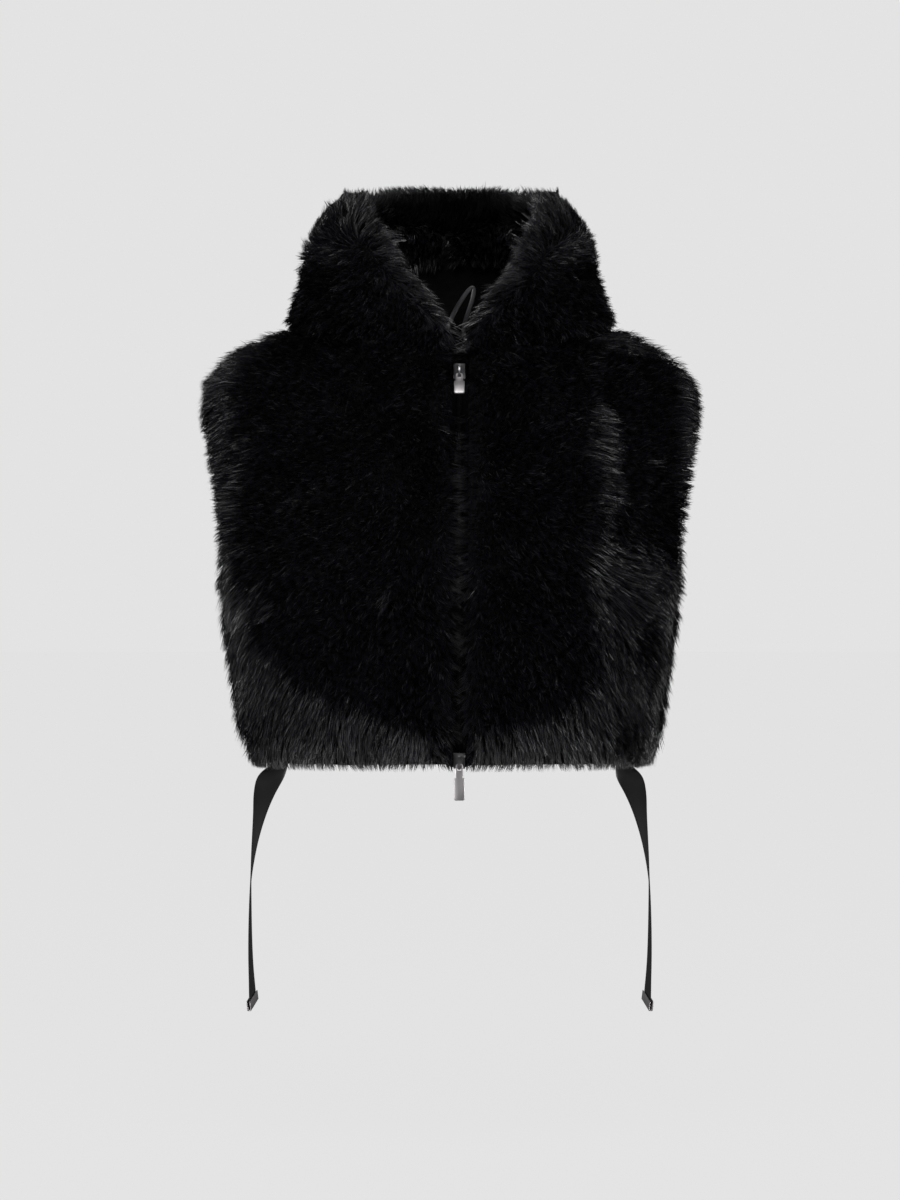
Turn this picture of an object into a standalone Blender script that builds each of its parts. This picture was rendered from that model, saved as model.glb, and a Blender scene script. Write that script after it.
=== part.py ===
"""Cropped faux fur vest with a funnel collar, a two-way front zip and two hanging satin ties.

The garment is hollow, as it is worn. X is its width, with +X at the wearer's left, -Y is the front
and +Z is up. The origin is the middle of the wearer's neck at shoulder height. Sizes are in metres.

One set of rings gives the whole shape: each ring lies on the backing of the fur, at the inside of
the wall, and the fur stands out from it by the height of the pile.
"""

import math
from collections import namedtuple

import bmesh
import bpy
import numpy as np
from mathutils import Matrix, Vector

# Thicknesses and gaps
PILE = 0.018
INNER_PILE = 0.015
RIM = 0.0045
EDGE_ROUND = 0.017
SEAM = 0.0002
LAYER = 0.0003
LINING_GAP = 0.0007
SATIN = 0.0015

# Front opening
ZIP_X = 0.009
GROOVE = 0.0075

# Armhole, seen from the side
ARMHOLE_TOP = -0.052
ARMHOLE_BOTTOM = -0.250
ARMHOLE_FRONT = 0.058
ARMHOLE_BACK = 0.052

# Rings of the backing, from the hem to the top of the collar
Ring = namedtuple("Ring", "z_front z_side z_back half_width front back squareness v_opening")
RINGS = [
    Ring(-0.4225, -0.425, -0.426, 0.183, 0.105, 0.099, 2.5, GROOVE),
    Ring(-0.385, -0.385, -0.385, 0.194, 0.111, 0.104, 2.5, GROOVE),
    Ring(-0.310, -0.310, -0.310, 0.204, 0.117, 0.110, 2.5, GROOVE),
    Ring(-0.250, -0.250, -0.250, 0.214, 0.120, 0.116, 2.5, GROOVE),
    Ring(-0.190, -0.190, -0.190, 0.231, 0.1195, 0.119, 2.5, GROOVE),
    Ring(-0.135, -0.126, -0.126, 0.2445, 0.114, 0.118, 2.5, GROOVE),
    Ring(-0.100, -0.075, -0.085, 0.243, 0.107, 0.111, 2.5, GROOVE),
    Ring(-0.082, -0.052, -0.055, 0.232, 0.104, 0.105, 2.45, GROOVE),
    Ring(-0.066, -0.038, -0.032, 0.217, 0.102, 0.101, 2.4, GROOVE),
    Ring(-0.052, -0.027, -0.012, 0.201, 0.100, 0.098, 2.35, GROOVE),
    Ring(-0.040, -0.019, 0.004, 0.183, 0.0985, 0.096, 2.3, GROOVE),
    Ring(-0.029, -0.009, 0.014, 0.164, 0.0975, 0.095, 2.3, GROOVE),
    Ring(-0.019, 0.007, 0.024, 0.153, 0.097, 0.094, 2.3, GROOVE),
    Ring(0.003, 0.030, 0.048, 0.1445, 0.099, 0.097, 2.25, 0.010),
    Ring(0.027, 0.054, 0.072, 0.1375, 0.101, 0.099, 2.2, 0.026),
    Ring(0.050, 0.078, 0.096, 0.132, 0.101, 0.100, 2.2, 0.048),
    Ring(0.073, 0.102, 0.120, 0.126, 0.099, 0.099, 2.2, 0.0625),
    Ring(0.098, 0.124, 0.141, 0.1145, 0.094, 0.095, 2.2, 0.077),
    Ring(0.122, 0.139, 0.157, 0.100, 0.088, 0.090, 2.2, 0.083),
]
UNDERARM = 3
SHOULDER_END = 7
NECKLINE = 12
COLLAR_TOP = 18
FACING_EDGE = 14.6
COLLAR_LEVELS = (NECKLINE, 12.9, 13.8, FACING_EDGE, 15.3, 16.1, 16.9, 17.4, 17.8, COLLAR_TOP)
LINING_LEVELS = (11.0, 11.9, 12.9, 13.8, FACING_EDGE - 0.025)
SEAM_LEVEL = 0.015

# Rows of a body panel: heights below the armhole, turns round its edge, and levels over the shoulder
HEM_HEIGHTS = (-0.425, -0.4225, -0.417, -0.408, -0.372, -0.332, -0.295, -0.267, -0.2555, -0.2515)
ARMHOLE_TURNS = (0, 20, 42, 66, 90, 114, 138, 160, 180)
SHOULDER_LEVELS = (7.12, 7.4, 8.0, 9.0, 10.0, 11.0)

# Places across a panel: close together where its free edges are rounded
EDGE_STEPS = (0.0, 0.0018, 0.006, 0.0135)
FRONT_SPANS = 6
BACK_SPANS = 12

# Fineness of the sums: samples on a quarter ring, on a line and on an edge, and small moves for a normal
QUARTER_SAMPLES = 72
LEVEL_SAMPLES = 400
EDGE_SAMPLES = 60
SHARP_ANGLE = 40.0
NUDGE = 0.004
LEVEL_NUDGE = 0.02

# Zip
TAPE = 0.001
TAPE_EDGE = GROOVE - 0.0005
CHAIN = 0.0021
CHAIN_FRONT = 0.0018
CHAIN_BACK = 0.0006
CHAIN_RAMP = 0.0015
CHAIN_FOOT = 0.0002
CHAIN_ROWS = 14
TAPE_LOW = -0.4235
TAPE_HIGH = -0.0215
SLIDER_WIDTH = 0.0115
SLIDER_LENGTH = 0.0155
PLATE = 0.0014
SLIDER_GAP = 0.0006
PLATE_BEVEL = 0.0004
POST_HALF = 0.0016
POST_LENGTH = 0.0026
PIVOT_DROP = 0.0035
BRIDGE_WIDTH = 0.0024
BRIDGE_STRIP = 0.0011
BRIDGE_RISE = 0.0046
TOP_PIVOT_Z = -0.0445
BOTTOM_PIVOT_Z = -0.4203
TOP_PULL_TILT = 55.0

# Bridge from the side: height from the pivot, and rise from the front plate as a share of its full rise
BridgePoint = namedtuple("BridgePoint", "height rise")
BRIDGE_FOOT = -0.15
BRIDGE_OUTSIDE = [
    BridgePoint(-0.0048, BRIDGE_FOOT),
    BridgePoint(-0.0045, 0.72),
    BridgePoint(-0.0032, 1.0),
    BridgePoint(0.0043, 1.0),
    BridgePoint(0.0078, 0.55),
    BridgePoint(0.0088, BRIDGE_FOOT),
]
UNDER_STRIP = 1.0 - BRIDGE_STRIP / BRIDGE_RISE
BRIDGE_INSIDE = [
    BridgePoint(0.0072, BRIDGE_FOOT),
    BridgePoint(0.0066, 0.30),
    BridgePoint(0.0036, UNDER_STRIP),
    BridgePoint(-0.0027, UNDER_STRIP),
    BridgePoint(-0.0035, 0.5),
    BridgePoint(-0.0036, BRIDGE_FOOT),
]

# Pull, hanging from its bar: half of its front view, as half width and distance below the bar
PULL_LENGTH = 0.0345
PULL_WIDTH = 0.0102
PULL_THICK = 0.0017
PULL_WINDOW = 0.0034
WINDOW_NEAR = 0.0008
WINDOW_FAR = 0.0056
PullPoint = namedtuple("PullPoint", "half_width drop")
PULL_OUTLINE = [
    PullPoint(0.0022, -0.0009),
    PullPoint(0.0031, -0.0003),
    PullPoint(0.0036, 0.0010),
    PullPoint(0.0037, 0.0034),
    PullPoint(0.0037, 0.0113),
    PullPoint(0.0034, 0.0125),
    PullPoint(PULL_WIDTH / 2 - 0.0003, 0.0129),
    PullPoint(PULL_WIDTH / 2, 0.0137),
    PullPoint(PULL_WIDTH / 2, PULL_LENGTH - 0.0012),
    PullPoint(PULL_WIDTH / 2 - 0.0012, PULL_LENGTH),
]

# Ties: satin ribbon that turns as it hangs
RIBBON = 0.0375
RIBBON_THICK = 0.0012
RIBBON_BOW = 0.0003
TIE_ROOT_ROWS = (3, 2, 1, 0)
TIE_ROOT_IN = 0.003
TIE_ROOT_GAP = 0.0005
Fall = namedtuple("Fall", "z x y turn tilt")
TIE_FALL = [
    Fall(-0.4356, 0.1765, -0.047, -36, 0),
    Fall(-0.4474, 0.1815, -0.046, -47, 0),
    Fall(-0.4592, 0.1850, -0.045, -56, 0),
    Fall(-0.4710, 0.1874, -0.045, -65, 0),
    Fall(-0.4947, 0.1918, -0.045, -76, 0),
    Fall(-0.5184, 0.1948, -0.045, -82, 0),
    Fall(-0.5420, 0.1967, -0.045, -88, 0),
    Fall(-0.5776, 0.1970, -0.046, -91, 1),
    Fall(-0.6100, 0.1967, -0.048, -93, 4),
    Fall(-0.6320, 0.1955, -0.051, -94, 7),
    Fall(-0.6500, 0.1943, -0.054, -97, 10),
    Fall(-0.6590, 0.1937, -0.0556, -97, 10),
]
CLAMP_HEIGHT = 0.0095
CLAMP_WIDTH = 0.039
CLAMP_WALL = 0.0009
CLAMP_SLOT = 0.0024
CLAMP_ROUND = 0.0006

# Folded satin edge in the V above the zip: where its ends are sewn, and its middle line from the front
FoldEnd = namedtuple("FoldEnd", "level side from_edge")
FOLD_ENDS = (FoldEnd(12.7, -1, 0.0045), FoldEnd(11.9, 1, 0.0045))
FoldPoint = namedtuple("FoldPoint", "x z depth")
FOLD_LINE = [
    FoldPoint(0.0005, 0.0110, 0.0865),
    FoldPoint(0.0065, 0.0225, 0.0860),
    FoldPoint(0.0145, 0.0350, 0.0870),
    FoldPoint(0.0200, 0.0415, 0.0875),
    FoldPoint(0.0228, 0.0425, 0.0875),
    FoldPoint(0.0240, 0.0395, 0.0870),
    FoldPoint(0.0215, 0.0285, 0.0855),
    FoldPoint(0.0170, 0.0165, 0.0845),
    FoldPoint(0.0130, 0.0040, 0.0845),
    FoldPoint(0.0132, -0.0070, 0.0865),
]
FOLD_WIDTH = 0.0048

COLOURS = {
    "fur": ((0.010, 0.010, 0.012, 1.0), 0.85, 0.0),
    "satin": ((0.022, 0.022, 0.025, 1.0), 0.38, 0.0),
    "tape": ((0.012, 0.012, 0.014, 1.0), 0.75, 0.0),
    "gunmetal": ((0.16, 0.16, 0.17, 1.0), 0.30, 1.0),
    "steel": ((0.62, 0.61, 0.62, 1.0), 0.28, 1.0),
}


def clear_scene():
    for thing in list(bpy.data.objects):
        bpy.data.objects.remove(thing, do_unlink=True)


def material(name):
    """A Principled material from the colour table, made once."""
    found = bpy.data.materials.get(name)
    if found:
        return found
    colour, roughness, metallic = COLOURS[name]
    made = bpy.data.materials.new(name)
    made.use_nodes = True
    shader = made.node_tree.nodes["Principled BSDF"]
    shader.inputs["Base Color"].default_value = colour
    shader.inputs["Roughness"].default_value = roughness
    shader.inputs["Metallic"].default_value = metallic
    return made


def add_object(name, mesh, finish, smooth=True):
    """Put a mesh in the scene as one named piece with its material."""
    piece = bpy.data.objects.new(name, mesh)
    bpy.context.scene.collection.objects.link(piece)
    mesh.materials.append(material(finish))
    if smooth:
        mesh.shade_smooth()
        mesh.set_sharp_from_angle(angle=math.radians(SHARP_ANGLE))
    return piece


# The garment's surface: a smooth curve through each column of the ring table


def ring_at(v):
    """The ring at any level v, between the rows of the table."""
    table = np.array(RINGS)
    last = len(RINGS) - 1
    low = min(max(int(math.floor(v)), 0), last - 1)
    t = v - low
    before = table[max(low - 1, 0)]
    start = table[low]
    end = table[low + 1]
    after = table[min(low + 2, last)]
    leave = (end - before) / 2
    arrive = (after - start) / 2
    row = (
        (2 * t**3 - 3 * t**2 + 1) * start
        + (t**3 - 2 * t**2 + t) * leave
        + (3 * t**2 - 2 * t**3) * end
        + (t**3 - t**2) * arrive
    )
    return Ring(*row)


def quarter(ring, depth):
    """A quarter of a ring, from the middle of the front or back to the side, by its own length."""
    angle = np.linspace(0, math.pi / 2, QUARTER_SAMPLES)
    power = 2 / ring.squareness
    x = ring.half_width * np.sin(angle) ** power
    y = depth * np.cos(angle) ** power
    length = np.concatenate([[0], np.cumsum(np.hypot(np.diff(x), np.diff(y)))])
    return x, y, length


def ring_point(v, side, face, along):
    """A point of the backing, on one side (+1 or -1) of its 'front' or 'back', at a length from its middle."""
    ring = ring_at(v)
    depth = ring.front if face == "front" else ring.back
    z_middle = ring.z_front if face == "front" else ring.z_back
    x, y, length = quarter(ring, depth)
    if along > length[-1]:
        other = "back" if face == "front" else "front"
        other_depth = ring.back if face == "front" else ring.front
        past = quarter(ring, other_depth)[2][-1] - (along - length[-1])
        return ring_point(v, side, other, past)
    px = np.interp(along, length, x)
    py = np.interp(along, length, y)
    z = ring.z_side + (z_middle - ring.z_side) * (py / depth) ** 2
    lean = ZIP_X * (1 - (px / ring.half_width) ** 2) if face == "front" else 0.0
    sign = -1 if face == "front" else 1
    return np.array([side * px + lean, sign * py, z])


def outward(v, side, face, along):
    """The unit normal of the backing, away from the wearer."""
    low = max(v - LEVEL_NUDGE, 0)
    high = min(v + LEVEL_NUDGE, COLLAR_TOP)
    up = ring_point(high, side, face, along) - ring_point(low, side, face, along)
    near = max(along - NUDGE, 0)
    across = ring_point(v, side, face, along + NUDGE) - ring_point(v, side, face, near)
    normal = np.cross(across, up) * side * (1 if face == "front" else -1)
    return normal / np.linalg.norm(normal)


def quarter_length(v, face):
    ring = ring_at(v)
    return quarter(ring, ring.front if face == "front" else ring.back)[2][-1]


def along_at_x(v, face, x_value):
    ring = ring_at(v)
    x, _, length = quarter(ring, ring.front if face == "front" else ring.back)
    return float(np.interp(x_value, x, length))


def along_at_y(v, face, y_value):
    ring = ring_at(v)
    _, y, length = quarter(ring, ring.front if face == "front" else ring.back)
    return float(np.interp(-y_value, -y, length))


def level_at_side(height):
    """The level v whose ring has this height at its side."""
    levels = np.linspace(0, NECKLINE, LEVEL_SAMPLES)
    heights = [ring_at(v).z_side for v in levels]
    return float(np.interp(height, heights, levels))


def armhole_half(v, face):
    """Half the width of the armhole at a level, from the side seam to its edge."""
    middle = (ARMHOLE_TOP + ARMHOLE_BOTTOM) / 2
    reach = (ARMHOLE_TOP - ARMHOLE_BOTTOM) / 2
    ratio = (ring_at(v).z_side - middle) / reach
    widest = ARMHOLE_FRONT if face == "front" else ARMHOLE_BACK
    return widest * math.sqrt(max(1 - ratio**2, 0.0))


def panel_end(v, face):
    """Where a body panel ends, at the side seam, the armhole or the shoulder seam."""
    return along_at_y(v, face, max(armhole_half(v, face), SEAM))


def front_start(v):
    """Where a front begins, beside the zip or at the edge of the collar's V."""
    return along_at_x(v, "front", ring_at(v).v_opening)


def body_levels():
    """The levels of a body panel's rows, from the hem to the neckline."""
    middle = (ARMHOLE_TOP + ARMHOLE_BOTTOM) / 2
    reach = (ARMHOLE_TOP - ARMHOLE_BOTTOM) / 2
    heights = list(HEM_HEIGHTS) + [middle - reach * math.cos(math.radians(turn)) for turn in ARMHOLE_TURNS]
    levels = [level_at_side(height) for height in heights]
    levels[0] = 0.0
    levels[-1] = float(SHOULDER_END)
    return levels + list(SHOULDER_LEVELS) + [float(NECKLINE)]


def across_steps(start, end, spans):
    """Places along a row, close together near both ends."""
    inner = EDGE_STEPS[-1]
    middle = np.linspace(start + inner, end - inner, spans + 1)
    first = [start + step for step in EDGE_STEPS[:-1]]
    last = [end - step for step in reversed(EDGE_STEPS[:-1])]
    return first + list(middle) + last


# Places on the garment: a grid of (level, side, face, along)


def front_row(v, side):
    steps = across_steps(front_start(v), panel_end(v, "front"), FRONT_SPANS)
    return [(v, side, "front", step) for step in steps]


def front_grid(side, levels):
    return [front_row(v, side) for v in levels]


def back_row(v, end):
    """Places along the back, from the wearer's left side to the right side."""
    steps = across_steps(-end, end, BACK_SPANS)
    return [(v, 1 if step < 0 else -1, "back", abs(step)) for step in steps]


def back_grid(levels):
    return [back_row(v, panel_end(v, "back")) for v in levels]


def collar_grid(levels):
    """Rows right round the collar, from the wearer's left edge of the V to the right edge."""
    rows = []
    for v in levels:
        side_end = quarter_length(v, "front") - SEAM
        steps = across_steps(front_start(v), side_end, FRONT_SPANS)
        left = [(v, 1, "front", along) for along in steps]
        right = [(v, -1, "front", along) for along in reversed(steps)]
        rows.append(left + back_row(v, quarter_length(v, "back") - SEAM) + right)
    return rows


def edge_line(levels, place):
    return np.array([ring_point(*place(v)) for v in levels])


def free_edges():
    """Every edge where the fur rolls over and thins: hem, zip, armholes, V and the collar's top."""
    lines = []
    around = np.linspace(0, 1, EDGE_SAMPLES)
    opening = np.linspace(0, COLLAR_TOP, 2 * EDGE_SAMPLES)
    armhole = np.linspace(UNDERARM, SHOULDER_END, EDGE_SAMPLES)
    for side in (1, -1):
        lines.append(edge_line(opening, lambda v: (v, side, "front", front_start(v))))
        for face in ("front", "back"):
            lines.append(edge_line(armhole, lambda v: (v, side, face, panel_end(v, face))))
            for level in (0, COLLAR_TOP):
                length = quarter_length(level, face)
                lines.append(edge_line(around, lambda part: (level, side, face, part * length)))
    return np.concatenate(lines)


def lower_facing_edge():
    around = np.linspace(0, 1, EDGE_SAMPLES)
    lines = []
    for side in (1, -1):
        for face in ("front", "back"):
            length = quarter_length(FACING_EDGE, face)
            lines.append(edge_line(around, lambda part: (FACING_EDGE, side, face, part * length)))
    return np.concatenate(lines)


def thickness(point, full, edges):
    """The pile's height at a point: full, and rolled down to the rim at a free edge."""
    distance = float(np.min(np.linalg.norm(edges - point, axis=1)))
    share = min(distance / EDGE_ROUND, 1.0)
    return RIM + (full - RIM) * math.sqrt(1 - (1 - share) ** 2)


def wall(name, inner, outer, finish):
    """A closed wall between two grids of the same shape, joined along their rims."""
    rows = len(inner)
    columns = len(inner[0])
    points = [p for row in inner for p in row] + [p for row in outer for p in row]
    lift = rows * columns
    faces = []
    for i in range(rows - 1):
        for j in range(columns - 1):
            a, b = i * columns + j, i * columns + j + 1
            c, d = (i + 1) * columns + j + 1, (i + 1) * columns + j
            faces += [(a, d, c), (a, c, b)]
            faces += [(lift + a, lift + b, lift + c), (lift + a, lift + c, lift + d)]
    rim = list(range(columns))
    rim += [i * columns + columns - 1 for i in range(1, rows)]
    rim += [(rows - 1) * columns + j for j in range(columns - 2, -1, -1)]
    rim += [i * columns for i in range(rows - 2, 0, -1)]
    for k, a in enumerate(rim):
        b = rim[(k + 1) % len(rim)]
        faces.append((a, b, lift + b, lift + a))
    mesh = bpy.data.meshes.new(name)
    mesh.from_pydata([tuple(p) for p in points], [], faces)
    face_outwards(mesh)
    return add_object(name, mesh, finish)


def face_outwards(mesh):
    """Split bent faces into triangles and point all of them outwards."""
    shape = bmesh.new()
    shape.from_mesh(mesh)
    bmesh.ops.triangulate(shape, faces=shape.faces[:])
    bmesh.ops.recalc_face_normals(shape, faces=shape.faces[:])
    shape.to_mesh(mesh)
    shape.free()


def fur_piece(name, grid, edges):
    """An outer fur piece: from the backing out to the tips of the pile."""
    inner = [[ring_point(*place) for place in row] for row in grid]
    outer = [
        [p + outward(*place) * thickness(p, PILE, edges) for p, place in zip(points, row)]
        for points, row in zip(inner, grid)
    ]
    return wall(name, inner, outer, "fur")


def layer_inside(name, grid, gap, full, edges, finish):
    """A piece that lies inside the backing: its points are the backing's, moved in."""
    near = []
    far = []
    for row in grid:
        normals = [outward(*place) for place in row]
        base = [ring_point(*place) for place in row]
        depths = [full if edges is None else thickness(p, full, edges) for p in base]
        near.append([p - n * gap for p, n in zip(base, normals)])
        far.append([p - n * (gap + depth) for p, n, depth in zip(base, normals, depths)])
    return wall(name, far, near, finish)


def seam_apart(grid, at_row, lift):
    """Move one row of places up or down by a small share of a level, to leave the seam's gap."""
    grid[at_row] = [(v + lift, side, face, along) for v, side, face, along in grid[at_row]]
    return grid


# Zip


def front_y(z):
    """Where the backing's middle front lies at a height."""
    levels = np.linspace(0, NECKLINE, LEVEL_SAMPLES)
    rings = [ring_at(v) for v in levels]
    return -float(np.interp(z, [ring.z_front for ring in rings], [ring.front for ring in rings]))


def zip_tape(name, side):
    """One tape with its half of the chain as a raised bead, from the bottom slider to the top one."""
    clear_of_post = SLIDER_LENGTH / 2 - 1.5 * POST_LENGTH - CHAIN_RAMP - SLIDER_GAP
    chain_low = BOTTOM_PIVOT_Z + PIVOT_DROP - clear_of_post
    chain_high = TOP_PIVOT_Z + PIVOT_DROP + clear_of_post
    rows = [(TAPE_LOW, False), (chain_low - CHAIN_RAMP, False), (chain_low, True)]
    rows += [(z, True) for z in np.linspace(chain_low, chain_high, CHAIN_ROWS)[1:]]
    rows += [(chain_high + CHAIN_RAMP, False), (TAPE_HIGH, False)]
    points = []
    for z, beaded in rows:
        y = front_y(z)
        x0 = LAYER / 2 if beaded else CHAIN
        x1 = CHAIN if beaded else CHAIN + 2 * CHAIN_FOOT
        front = CHAIN_FRONT if beaded else TAPE + CHAIN_FOOT / 2
        back = CHAIN_BACK if beaded else CHAIN_FOOT / 2
        section = [(x0, -back), (x0, front), (x1, front), (x1 + CHAIN_FOOT, TAPE), (TAPE_EDGE, TAPE)]
        section += [(TAPE_EDGE, 0.0), (x1 + CHAIN_FOOT, 0.0), (x1, -back)]
        points.append([(ZIP_X + side * x, y - rise, z) for x, rise in section])
    return lofted(name, points, "tape")


def lofted(name, sections, finish, in_strips=False):
    """A closed solid through sections with the same number of points, a thin one capped in strips."""
    count = len(sections[0])
    points = [p for section in sections for p in section]
    faces = []
    for i in range(len(sections) - 1):
        for j in range(count):
            k = (j + 1) % count
            faces.append((i * count + j, i * count + k, (i + 1) * count + k, (i + 1) * count + j))
    cap = [tuple(range(count))]
    if in_strips:
        cap = [(j, j + 1, count - 2 - j, count - 1 - j) for j in range(count // 2 - 1)]
    last = (len(sections) - 1) * count
    faces += cap + [tuple(last + j for j in reversed(face)) for face in cap]
    mesh = bpy.data.meshes.new(name)
    mesh.from_pydata([tuple(p) for p in points], [], faces)
    face_outwards(mesh)
    return add_object(name, mesh, finish)


def slab(name, size, centre, bevel=0.0, hidden=False):
    """A box with its edges rounded, as a piece or as a cutter."""
    shape = bmesh.new()
    bmesh.ops.create_cube(shape, size=1.0)
    bmesh.ops.scale(shape, vec=Vector(size), verts=shape.verts)
    bmesh.ops.translate(shape, vec=Vector(centre), verts=shape.verts)
    if bevel:
        bmesh.ops.bevel(shape, geom=shape.edges[:], offset=bevel, segments=2, profile=0.5, affect="EDGES")
    mesh = bpy.data.meshes.new(name)
    shape.to_mesh(mesh)
    shape.free()
    piece = bpy.data.objects.new(name, mesh)
    bpy.context.scene.collection.objects.link(piece)
    if hidden:
        hide_tool(piece)
    return piece


def hide_tool(tool):
    tool.hide_render = True
    tool.display_type = "WIRE"


def combine(piece, tool, operation):
    """Add or cut a hidden tool with an exact Boolean."""
    modifier = piece.modifiers.new(tool.name, "BOOLEAN")
    modifier.operation = operation
    modifier.solver = "EXACT"
    modifier.object = tool


def place_on_tape(thing, z):
    """Set a piece made round the origin on the tape at a height, turned with the tape's slope."""
    reach = SLIDER_LENGTH / 2
    slope = (front_y(z + reach) - front_y(z - reach)) / SLIDER_LENGTH
    thing.rotation_euler = (-math.atan(slope), 0, 0)
    thing.location = (ZIP_X, front_y(z), z)
    return Matrix.Translation(thing.location) @ thing.rotation_euler.to_matrix().to_4x4()


def slider(name, pivot_z, post_up):
    """A slider: two plates round the chain, the post that parts it, and the bridge for the pull."""
    front_face = -(CHAIN_FRONT + SLIDER_GAP)
    back_face = CHAIN_BACK + SLIDER_GAP
    plate = (SLIDER_WIDTH, PLATE, SLIDER_LENGTH)
    body = slab(name, plate, (0, front_face - PLATE / 2, 0), PLATE_BEVEL)
    rear = slab(name + "_rear", plate, (0, back_face + PLATE / 2, 0), PLATE_BEVEL, True)
    post_size = (2 * POST_HALF, back_face - front_face + PLATE, POST_LENGTH)
    post_z = post_up * (SLIDER_LENGTH / 2 - POST_LENGTH)
    post = slab(name + "_post", post_size, (0, (front_face + back_face) / 2, post_z), 0.0, True)
    plate_y = front_face - PLATE
    half = BRIDGE_WIDTH / 2
    arch = [(plate_y - p.rise * BRIDGE_RISE, p.height - PIVOT_DROP) for p in BRIDGE_OUTSIDE + BRIDGE_INSIDE]
    sections = [[(x, y, z) for y, z in arch] for x in (-half, half)]
    bridge = lofted(name + "_bridge", sections, "gunmetal")
    hide_tool(bridge)
    for tool in (rear, post, bridge):
        combine(body, tool, "UNION")
    body.data.materials.append(material("gunmetal"))
    for thing in (body, rear, post, bridge):
        place = place_on_tape(thing, pivot_z + PIVOT_DROP)
    return place @ Vector((0, plate_y - (BRIDGE_RISE - BRIDGE_STRIP) / 2, -PIVOT_DROP))


def pull(name, pivot, tilt):
    """A pull tab with its window round the bridge. Its origin is its hinge, the middle of its bar."""
    outline = [(p.half_width, p.drop) for p in PULL_OUTLINE]
    outline += [(-p.half_width, p.drop) for p in reversed(PULL_OUTLINE)]
    half = PULL_THICK / 2
    sections = [[(x, y, -drop) for x, drop in outline] for y in (-half, half)]
    tab = lofted(name, sections, "steel")
    window_size = (PULL_WINDOW, 4 * PULL_THICK, WINDOW_FAR - WINDOW_NEAR)
    window = slab(name + "_window", window_size, (0, 0, -(WINDOW_NEAR + WINDOW_FAR) / 2), 0.0, True)
    for thing in (tab, window):
        thing.location = pivot
        thing.rotation_euler = (-math.radians(tilt), 0, 0)
    combine(tab, window, "DIFFERENCE")
    return tab


# Ties


def tie_frame(fall, side):
    """The directions of the ribbon at one place of its fall: across it, and straight out of its face."""
    turn = math.radians(fall.turn)
    tilt = math.radians(fall.tilt)
    level = math.cos(tilt)
    across = Vector((-side * math.cos(turn) * level, math.sin(turn) * level, -math.sin(tilt)))
    down = Vector((0, 0, -1))
    face = across.cross(down).normalized()
    return across, face


def on_front_panel(v, side, along):
    """A point on the flat faces of a front's backing, in one of its rows, and the normal there."""
    row = front_row(v, side)
    points = np.array([ring_point(*place) for place in row])
    steps = [place[3] for place in row]
    point = np.array([np.interp(along, steps, points[:, axis]) for axis in range(3)])
    return point, outward(v, side, "front", along)


def tie(name, side):
    """A ribbon that starts flat inside the hem, beside the side seam, and turns edge-on as it hangs."""
    sections = []
    middle_x = TIE_FALL[0].x - TIE_ROOT_IN
    half = RIBBON_THICK / 2
    levels = body_levels()
    for v in [levels[row] for row in TIE_ROOT_ROWS]:
        middle = along_at_x(v, "front", middle_x)
        near, far = [], []
        for part in (-0.5, 0.0, 0.5):
            point, normal = on_front_panel(v, side, middle - part * RIBBON)
            near.append(point - normal * TIE_ROOT_GAP)
            far.append(point - normal * (TIE_ROOT_GAP + RIBBON_THICK))
        sections.append(near + far[::-1])
    for fall in TIE_FALL:
        across, face = tie_frame(fall, side)
        centre = Vector((side * fall.x, fall.y, fall.z))
        bow = face * RIBBON_BOW * side
        line = [centre - across * RIBBON / 2, centre + bow, centre + across * RIBBON / 2]
        front = [point + face * half * side for point in line]
        back = [point - face * half * side for point in line]
        sections.append(front + back[::-1])
    return lofted(name, sections, "satin", in_strips=True)


def clamp(name, side):
    """A folded metal channel that grips the end of the ribbon."""
    end = TIE_FALL[-1]
    before = TIE_FALL[-2]
    across, face = tie_frame(end, side)
    fall = Vector((side * (end.x - before.x), end.y - before.y, end.z - before.z)).normalized()
    down = (fall - across * fall.dot(across)).normalized()
    face = across.cross(down).normalized()
    tip = Vector((side * end.x, end.y, end.z))
    slot = CLAMP_SLOT / 2
    outer = slot + CLAMP_WALL
    bottom = LAYER + CLAMP_WALL
    top = bottom - CLAMP_HEIGHT
    profile = [(-outer, top), (-slot, top), (-slot, LAYER), (slot, LAYER), (slot, top), (outer, top)]
    profile += [(outer, bottom - CLAMP_ROUND), (outer - CLAMP_ROUND, bottom)]
    profile += [(CLAMP_ROUND - outer, bottom), (-outer, bottom - CLAMP_ROUND)]
    sections = [
        [tip + across * reach + face * out + down * drop for out, drop in profile]
        for reach in (-CLAMP_WIDTH / 2, CLAMP_WIDTH / 2)
    ]
    return lofted(name, sections, "steel")


def fold_end(end):
    """Where one end of the fold is sewn down, on the inner face of the neck's lining."""
    place = (end.level, end.side, "front", front_start(end.level) + end.from_edge)
    return Vector(ring_point(*place) - outward(*place) * (LINING_GAP + SATIN + SATIN / 2 + 2 * LAYER))


def facing_fold():
    """The turned satin edge that stands as a narrow fold in the V, sewn to the lining at both ends."""
    first, last = [fold_end(end) for end in FOLD_ENDS]
    line = [first] + [Vector((p.x, -p.depth, p.z)) for p in FOLD_LINE] + [last]
    sections = []
    for i, point in enumerate(line):
        before = line[max(i - 1, 0)]
        after = line[min(i + 1, len(line) - 1)]
        along = (after - before).normalized()
        across = along.cross(Vector((0, -1, 0))).normalized() * FOLD_WIDTH / 2
        out = Vector((0, -1, 0)) * SATIN / 2
        low, high = point - across, point + across
        sections.append([low - out, low + out, high + out, high - out])
    return lofted("facing_fold", sections, "satin")


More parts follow.
